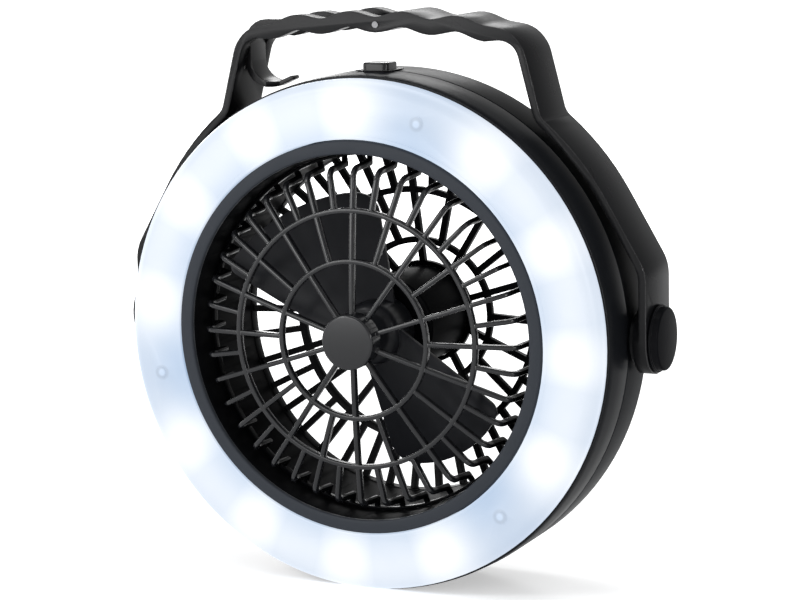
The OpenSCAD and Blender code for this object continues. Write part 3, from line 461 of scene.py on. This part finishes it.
def pipPaintedShading(tree, place, inGroup, s):
    # each pip gets a brighter core as a painted highlight inside a darker ring as a painted shade, midway between
    # two groups
    groupAngle = 360 / s["ledGroups"]
    aside = calc(tree, "SUBTRACT", groupAngle / 2, inGroup)
    around = calc(tree, "MULTIPLY", aside, math.pi / 180 * s["pipRadius"])
    outward = calc(tree, "SUBTRACT", place.outputs["Radius"], s["pipRadius"])
    fromPip = calc(tree, "SQRT", calc(tree, "ADD", squared(tree, around), squared(tree, outward)))
    ring, core, ringSoft, coreSoft = (s[k] for k in ("pipRing", "pipCore", "ringSoft", "coreSoft"))
    dark = ramp(tree, fromPip, ring + ringSoft, ring - ringSoft, (0, s["pipPaintedShade"]))
    bright = ramp(tree, fromPip, core + coreSoft, core - coreSoft, (0, s["pipPaintedHighlight"]))
    return calc(tree, "ADD", calc(tree, "SUBTRACT", s["strength"], dark), bright)


def makeLensMaterial(s):
    # frosted plastic lit from behind: a soft white pool in front of each lamp, cooler in between
    material, tree, shader = startMaterial("lensFrost")
    place = placeGroup(tree, wheelPlace)
    groupAngle = 360 / s["ledGroups"]
    around = calc(tree, "SUBTRACT", place.outputs["Angle"], s["ledStart"] - groupAngle / 2 - 360)
    turned = calc(tree, "SUBTRACT", calc(tree, "MODULO", around, groupAngle), groupAngle / 2)
    inGroup = calc(tree, "ABSOLUTE", turned)
    toPair = calc(tree, "ABSOLUTE", calc(tree, "SUBTRACT", inGroup, s["ledPitch"]))
    toLamp = calc(tree, "ABSOLUTE", calc(tree, "SUBTRACT", toPair, s["ledPitch"] / 2))
    across = calc(tree, "MULTIPLY", toLamp, math.pi / 180 * s["ledRadius"] / s["glowWidth"])
    beyond = calc(tree, "SUBTRACT", place.outputs["Radius"], s["ledRadius"])
    outward = calc(tree, "DIVIDE", beyond, s["glowDepth"])
    apart = calc(tree, "ADD", squared(tree, across), squared(tree, outward))
    pool = calc(tree, "EXPONENT", calc(tree, "MULTIPLY", apart, -s["glowFall"]))
    spread = calc(tree, "DIVIDE", beyond, s["groupDepth"])
    band = calc(tree, "EXPONENT", calc(tree, "MULTIPLY", squared(tree, spread), -1.0))
    reach = ramp(tree, inGroup, groupAngle / 2 - s["groupOuter"], s["ledPitch"] * 1.5 - s["groupInner"])
    group = calc(tree, "MULTIPLY", reach, band)
    glow = calc(tree, "MAXIMUM", pool, calc(tree, "MULTIPLY", group, s["groupGlow"]))

    coords = objectCoords(tree)
    cloud = noise(tree, coords, s["cloudScale"], 2, 0.5)
    drift = calc(tree, "MULTIPLY", calc(tree, "SUBTRACT", cloud, 0.5), s["cloudDepth"])
    uneven = calc(tree, "ADD", glow, drift, clamp=True)
    outside = ramp(tree, place.outputs["Radius"], s["bodyRadius"], s["rimRadius"])
    body = blendColour(tree, outside, s["bodyColour"], s["rimColour"])
    tree.links.new(blendColour(tree, uneven, body, s["glowColour"]), shader.inputs["Emission Color"])
    tree.links.new(pipPaintedShading(tree, place, inGroup, s), shader.inputs["Emission Strength"])

    shader.inputs["Base Color"].default_value = s["frostColour"]
    shader.inputs["Specular IOR Level"].default_value = s["frostSpecular"]
    tree.links.new(ramp(tree, cloud, 0.2, 0.8, s["frostRough"]), shader.inputs["Roughness"])
    addBump(tree, shader, noise(tree, coords, s["grainScale"], 2, 0.6), s["grainDepth"], s["grainHeight"])
    return material


boardLook = {
    "fleckScale": 500.0, "colours": ((0.66, 0.68, 0.62, 1), (0.74, 0.75, 0.71, 1)), "roughness": (0.28, 0.36),
}
lampLook = {
    "grainScale": 900.0, "colours": ((0.9, 0.86, 0.5, 1), (1.0, 0.97, 0.75, 1)),
    "glowColour": (1, 0.98, 0.92, 1), "strength": 3,
}
cellLook = {
    "speckScale": 700.0, "colours": ((0.045, 0.075, 0.050, 1), (0.060, 0.095, 0.062, 1)),
    "roughness": (0.26, 0.34), "metallic": 0.35,
}


def makeBoardMaterial(s):
    material, tree, shader = startMaterial("boardLacquer")
    flecks = noise(tree, objectCoords(tree), s["fleckScale"], 3, 0.6)
    tree.links.new(blendColour(tree, flecks, *s["colours"]), shader.inputs["Base Color"])
    tree.links.new(ramp(tree, flecks, 0.3, 0.7, s["roughness"]), shader.inputs["Roughness"])
    return material


def makeLampMaterial(s):
    material, tree, shader = startMaterial("lampGlow")
    grains = noise(tree, objectCoords(tree), s["grainScale"], 2, 0.5)
    tree.links.new(blendColour(tree, grains, *s["colours"]), shader.inputs["Base Color"])
    shader.inputs["Emission Color"].default_value = s["glowColour"]
    shader.inputs["Emission Strength"].default_value = s["strength"]
    return material


def makeCellMaterial(s):
    # plain coloured sleeve with fine specks
    material, tree, shader = startMaterial("cellSleeve")
    specks = noise(tree, objectCoords(tree), s["speckScale"], 3, 0.6)
    tree.links.new(blendColour(tree, specks, *s["colours"]), shader.inputs["Base Color"])
    tree.links.new(ramp(tree, specks, 0.3, 0.7, s["roughness"]), shader.inputs["Roughness"])
    shader.inputs["Metallic"].default_value = s["metallic"]
    return material


looks = {name: makePlastic(name) for name in plastics}
looks.update({name: makeMetal(name, streakLook) for name in metals})
looks["lensFrost"] = makeLensMaterial(lensLook)
looks["boardLacquer"] = makeBoardMaterial(boardLook)
looks["lampGlow"] = makeLampMaterial(lampLook)
looks["cellSleeve"] = makeCellMaterial(cellLook)

finishes = {
    "shellBlack": ("front_housing", "rear_housing", "battery_cover"),
    "strapBlack": ("handle",),
    "hookBlack": ("hook",),
    "trimCharcoal": ("trim_ring",),
    "grilleBlack": ("front_grille",),
    "latticeBlack": ("rear_grille",),
    "ductBlack": ("duct", "motor_cup", "motor_lid"),
    "bladeGrey": ("rotor",),
    "capBlack": ("pivot_cap_left", "pivot_cap_right"),
    "buttonRubber": ("switch_button",),
    "bezelBlack": ("button_bezel",),
    "trayBlack": ("battery_tray",),
    "switchGrey": ("switch_body",),
    "reflectorWhite": ("reflector",),
    "washerFibre": ("pivot_washer_left", "pivot_washer_right"),
    "brightSteel": ("motor_shaft", "pivot_bolt_left", "pivot_bolt_right", "housing_screws"),
    "pinSteel": ("hook_pin",),
    "motorSteel": ("motor_can",),
    "springSteel": ("battery_springs",),
    "bushBronze": ("motor_bush",),
    "lensFrost": ("lens",),
    "boardLacquer": ("led_board",),
    "lampGlow": ("leds",),
    "cellSleeve": ("cell_1", "cell_2", "cell_3", "cell_4"),
}
finishOf = {node: finish for finish, members in finishes.items() for node in members}
for name, node in nodes.items():
    node.data.materials.clear()
    node.data.materials.append(looks[finishOf[name]])
print("materials made:", len(looks))


# pieces with softened edges, from the frame's own solids

bodyOf = {n: body for body, members in frame["record"]["behaviour"]["bodies"].items() for n in members}
smoothAngle = 32   # degrees between two faces, past which an edge stays sharp


def linkPiece(name, mesh, node):
    piece = bpy.data.objects.new(name, mesh)
    bpy.context.scene.collection.objects.link(piece)
    mesh.materials.clear()
    mesh.materials.append(looks[finishOf[node]])
    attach(piece, bodyOf[node])
    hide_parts(node)


def smoothByAngle(mesh):
    bm = bmesh.new()
    bm.from_mesh(mesh)
    for face in bm.faces:
        face.smooth = True
    for edge in bm.edges:
        edge.smooth = not (len(edge.link_faces) == 2 and edge.calc_face_angle(0) > math.radians(smoothAngle))
    bm.to_mesh(mesh)
    bm.free()


softening = {"mergeDistance": 2e-6, "flatAngle": 0.6, "sharpAngle": 28}

softened = {
    # node: piece name, edge radius in mm, segments
    "handle": ("strapHandle", 0.7, 3),
    "hook": ("hangingHook", 0.8, 3),
    "trim_ring": ("trimRing", 0.35, 3),
    "switch_button": ("pushButton", 0.25, 2),
    "front_housing": ("frontShell", 0.3, 2),
    "rear_housing": ("rearShell", 0.3, 2),
    "lens": ("frostedLens", 0.18, 2),
    "duct": ("airDuct", 0.25, 2),
    "rear_grille": ("rearLattice", 0.4, 2),
    "rotor": ("fanWheel", 0.3, 2),
    "motor_cup": ("motorCup", 0.3, 2),
    "pivot_cap_left": ("pivotCapLeft", 0.2, 2),
    "pivot_cap_right": ("pivotCapRight", 0.2, 2),
    "button_bezel": ("buttonFrame", 0.15, 2),
    "battery_cover": ("batteryLid", 0.25, 2),
}


def softenedCopy(node, name, width, segments, s):
    mesh = nodes[node].data.copy()
    mesh.name = name
    bm = bmesh.new()
    bm.from_mesh(mesh)
    bmesh.ops.remove_doubles(bm, verts=bm.verts, dist=s["mergeDistance"])
    bmesh.ops.dissolve_limit(bm, angle_limit=math.radians(s["flatAngle"]), verts=bm.verts, edges=bm.edges)
    bm.to_mesh(mesh)
    bm.free()
    rough = bpy.data.objects.new("rough", mesh)
    bpy.context.scene.collection.objects.link(rough)
    bevel = rough.modifiers.new("edges", "BEVEL")
    bevel.width = width * mm
    bevel.segments = segments
    bevel.limit_method = "ANGLE"
    bevel.angle_limit = math.radians(s["sharpAngle"])
    bevel.use_clamp_overlap = True
    done = bpy.data.meshes.new_from_object(rough.evaluated_get(bpy.context.evaluated_depsgraph_get()))
    bpy.data.objects.remove(rough)
    done.name = name
    smoothByAngle(done)
    linkPiece(name, done, node)


for node, (name, width, segments) in softened.items():
    softenedCopy(node, name, width, segments, softening)
print("softened pieces made")


# the front grille: one rib of each kind, repeated round the axis

grilleSizes = {
    # millimetres, as radii from the axis and depths behind the hub's face, and degrees
    "hubRadius": 10.2, "hubProud": 3.9, "hubDepth": 7.4, "hubEdge": 0.9, "hubOverlap": 1.5,
    "domeHeight": 3.7, "innerRing": 29.0, "outerRing": 47.4,
    "ringWidth": 1.9, "ringDepth": 2.65, "ringProud": 0.25,
    "ribWidth": 1.8, "ribDepth": 3.0, "ribBend": 5.0, "runRadius": 63.5, "runThick": 2.4, "underGap": 1.5,
    "outerTurn": 80, "innerTurn": 62, "legLength": 12.0, "legLean": 0.8, "footThick": 2.2, "footRound": 1.2,
    "footRingWidth": 1.2, "footRingProud": 0.3, "footRingEdge": 0.25,
    "footRadius": max(v.co.x for v in nodes["front_grille"].data.vertices) / mm,
    "hubRibs": 10, "edge": 0.55, "domeSteps": 8, "turnSteps": 180,
}


def arcPoints(centre, radius, start, end, steps):
    turns = [math.radians(start + (end - start) * i / steps) for i in range(steps + 1)]
    return [(centre[0] + radius * math.cos(t), centre[1] + radius * math.sin(t)) for t in turns]


def domeDepth(g, r):
    return g["hubProud"] + g["domeHeight"] * (r / (g["runRadius"] - g["ribBend"])) ** 2


def footDepth(g):
    return g["hubProud"] + g["domeHeight"] + g["ribBend"] + g["legLength"]


def ribOutline(g, start):
    # along the dome, round the bend and back to the foot, as radius and depth behind the hub's face
    bendRadius = g["runRadius"] - g["ribBend"]
    bend = (bendRadius, g["hubProud"] + g["domeHeight"] + g["ribBend"])
    back = footDepth(g)
    legOut = g["runRadius"] + g["legLean"]
    legIn = legOut - g["runThick"]
    reach = g["footRadius"] - g["footRingWidth"] / 2
    turn = g["footRound"]
    steps = g["domeSteps"]
    radii = [start + (bendRadius - start) * i / steps for i in range(steps + 1)]
    dome = [(r, domeDepth(g, r)) for r in radii]
    outer = arcPoints(bend, g["ribBend"], -g["outerTurn"], 0, 8)
    inner = arcPoints(bend, g["ribBend"] - g["runThick"], 0, -g["innerTurn"], 4)
    corner = arcPoints((legOut + turn, back - g["footThick"] - turn), turn, 180, 90, 3)
    heel = arcPoints((legIn + turn, back - turn), turn, 90, 180, 3)
    foot = corner + [(reach, back - g["footThick"]), (reach, back)] + heel
    under = [(r, depth + g["ribDepth"]) for r, depth in reversed(dome) if r < bendRadius - g["underGap"]]
    return dome[:-1] + outer + foot + inner + under


def ribMesh(g, start):
    mesh = bpy.data.meshes.new("rib")
    bm = bmesh.new()
    half = g["ribWidth"] / 2
    sides = []
    for z in (-half, half):
        sides.append([bm.verts.new((r * mm, depth * mm, z * mm)) for r, depth in ribOutline(g, start)])
    low, high = sides
    bm.faces.new(low)
    bm.faces.new(list(reversed(high)))
    for i in range(len(low)):
        j = (i + 1) % len(low)
        bm.faces.new((low[j], low[i], high[i], high[j]))
    bmesh.ops.recalc_face_normals(bm, faces=bm.faces)
    flats = {face for face in bm.faces if len(face.verts) > 4}
    edges = [edge for edge in bm.edges if any(face in flats for face in edge.link_faces)]
    bmesh.ops.bevel(bm, geom=edges, offset=g["edge"] * mm, segments=3, affect="EDGES", profile=0.5,
                    clamp_overlap=True)
    bm.to_mesh(mesh)
    bm.free()
    return mesh


def turnedMesh(name, profiles, steps):
    # closed profiles of radius and depth in mm, turned about the fan's axis
    mesh = bpy.data.meshes.new(name)
    bm = bmesh.new()
    for profile in profiles:
        rings = []
        for k in range(steps):
            t = 2 * math.pi * k / steps
            rings.append([bm.verts.new((r * mm * math.cos(t), depth * mm, r * mm * math.sin(t)))
                          for r, depth in profile])
        for k in range(steps):
            here, there = rings[k], rings[(k + 1) % steps]
            for i in range(len(profile)):
                j = (i + 1) % len(profile)
                bm.faces.new((here[i], here[j], there[j], there[i]))
    bmesh.ops.remove_doubles(bm, verts=bm.verts, dist=1e-7)
    bmesh.ops.recalc_face_normals(bm, faces=bm.faces)
    bm.to_mesh(mesh)
    bm.free()
    return mesh


def roundedBar(r, near, width, depth, edge):
    # the section of a ring with rounded corners, at the radius r
    low, high = r - width / 2 + edge, r + width / 2 - edge
    front, back = near + edge, near + depth - edge
    corners = ((low, front, 180), (high, front, 270), (high, back, 0), (low, back, 90))
    return [p for x, y, start in corners for p in arcPoints((x, y), edge, start, start + 90, 4)]


def grilleRings(g):
    bars = [roundedBar(r, domeDepth(g, r) - g["ringProud"], g["ringWidth"], g["ringDepth"], g["edge"])
            for r in (g["innerRing"], g["outerRing"])]
    near = footDepth(g) - g["footThick"] - g["footRingProud"]
    bars.append(roundedBar(g["footRadius"] - g["footRingWidth"] / 2, near, g["footRingWidth"],
                           g["footThick"] + 2 * g["footRingProud"], g["footRingEdge"]))
    edge = g["hubEdge"]
    hub = [(0, 0)] + arcPoints((g["hubRadius"] - edge, edge), edge, 270, 360, 6)
    hub += [(g["hubRadius"], g["hubDepth"]), (0, g["hubDepth"])]
    return turnedMesh("grilleRings", bars + [hub], g["turnSteps"])


def makeRibWheel():
    # repeats one rib round the fan's axis
    tree = bpy.data.node_groups.new("ribWheel", "GeometryNodeTree")
    sockets = (("Rib", "NodeSocketObject"), ("Count", "NodeSocketInt"), ("Start Angle", "NodeSocketFloat"),
               ("Material", "NodeSocketMaterial"))
    for label, kind in sockets:
        tree.interface.new_socket(name=label, in_out="INPUT", socket_type=kind)
    tree.interface.new_socket(name="Geometry", in_out="OUTPUT", socket_type="NodeSocketGeometry")
    given, out = tree.nodes.new("NodeGroupInput"), tree.nodes.new("NodeGroupOutput")
    line = add(tree, "GeometryNodeMeshLine")
    tree.links.new(given.outputs["Count"], line.inputs["Count"])
    line.inputs["Offset"].default_value = (0, 0, 0)
    index = add(tree, "GeometryNodeInputIndex").outputs[0]
    step = calc(tree, "DIVIDE", 2 * math.pi, given.outputs["Count"])
    turn = calc(tree, "ADD", calc(tree, "MULTIPLY", index, step), given.outputs["Start Angle"])
    spin = add(tree, "ShaderNodeCombineXYZ")
    tree.links.new(calc(tree, "MULTIPLY", turn, -1.0), spin.inputs["Y"])
    rib = add(tree, "GeometryNodeObjectInfo", transform_space="ORIGINAL")
    tree.links.new(given.outputs["Rib"], rib.inputs["Object"])
    place = add(tree, "GeometryNodeInstanceOnPoints")
    tree.links.new(line.outputs["Mesh"], place.inputs["Points"])
    tree.links.new(rib.outputs["Geometry"], place.inputs["Instance"])
    tree.links.new(spin.outputs["Vector"], place.inputs["Rotation"])
    real = add(tree, "GeometryNodeRealizeInstances")
    tree.links.new(place.outputs["Instances"], real.inputs["Geometry"])
    paint = add(tree, "GeometryNodeSetMaterial")
    tree.links.new(real.outputs["Geometry"], paint.inputs["Geometry"])
    tree.links.new(given.outputs["Material"], paint.inputs["Material"])
    tree.links.new(paint.outputs["Geometry"], out.inputs["Geometry"])
    return tree


def wheelOf(tree, rib, count, start, material):
    holder = bpy.data.objects.new("wheel", bpy.data.meshes.new("wheel"))
    bpy.context.scene.collection.objects.link(holder)
    modifier = holder.modifiers.new("wheel", "NODES")
    modifier.node_group = tree
    given = {"Rib": rib, "Count": count, "Start Angle": start, "Material": material}
    for item in tree.interface.items_tree:
        if item.item_type == "SOCKET" and item.in_out == "INPUT":
            modifier[item.identifier] = given[item.name]
    mesh = bpy.data.meshes.new_from_object(holder.evaluated_get(bpy.context.evaluated_depsgraph_get()))
    bpy.data.objects.remove(holder)
    return mesh


def joined(name, meshes, offset):
    # one mesh out of several, moved to its place in the frame
    bm = bmesh.new()
    for mesh in meshes:
        bm.from_mesh(mesh)
    bmesh.ops.translate(bm, verts=bm.verts, vec=offset)
    done = bpy.data.meshes.new(name)
    bm.to_mesh(done)
    bm.free()
    return done


def makeGrille(g):
    tree = makeRibWheel()
    quarter = math.pi / 2
    count = g["hubRibs"]
    spacing = 2 * math.pi / (4 * count)
    kinds = (
        # radius where the rib starts, how many, and its first place among the forty
        (g["hubRadius"] - g["hubOverlap"], count, 0),
        (g["innerRing"], count, 2),
        (g["outerRing"], 2 * count, 1),
    )
    wheels = []
    for start, number, first in kinds:
        rib = bpy.data.objects.new("rib", ribMesh(g, start))
        bpy.context.scene.collection.objects.link(rib)
        wheels.append(wheelOf(tree, rib, number, quarter + first * spacing, looks["grilleBlack"]))
        bpy.data.objects.remove(rib)
    front = min(v.co.y for v in nodes["front_grille"].data.vertices)
    mesh = joined("fanGrille", wheels + [grilleRings(g)], Vector((drumCentre.x, front, drumCentre.z)))
    smoothByAngle(mesh)
    linkPiece("fanGrille", mesh, "front_grille")


makeGrille(grilleSizes)
print("front grille made")
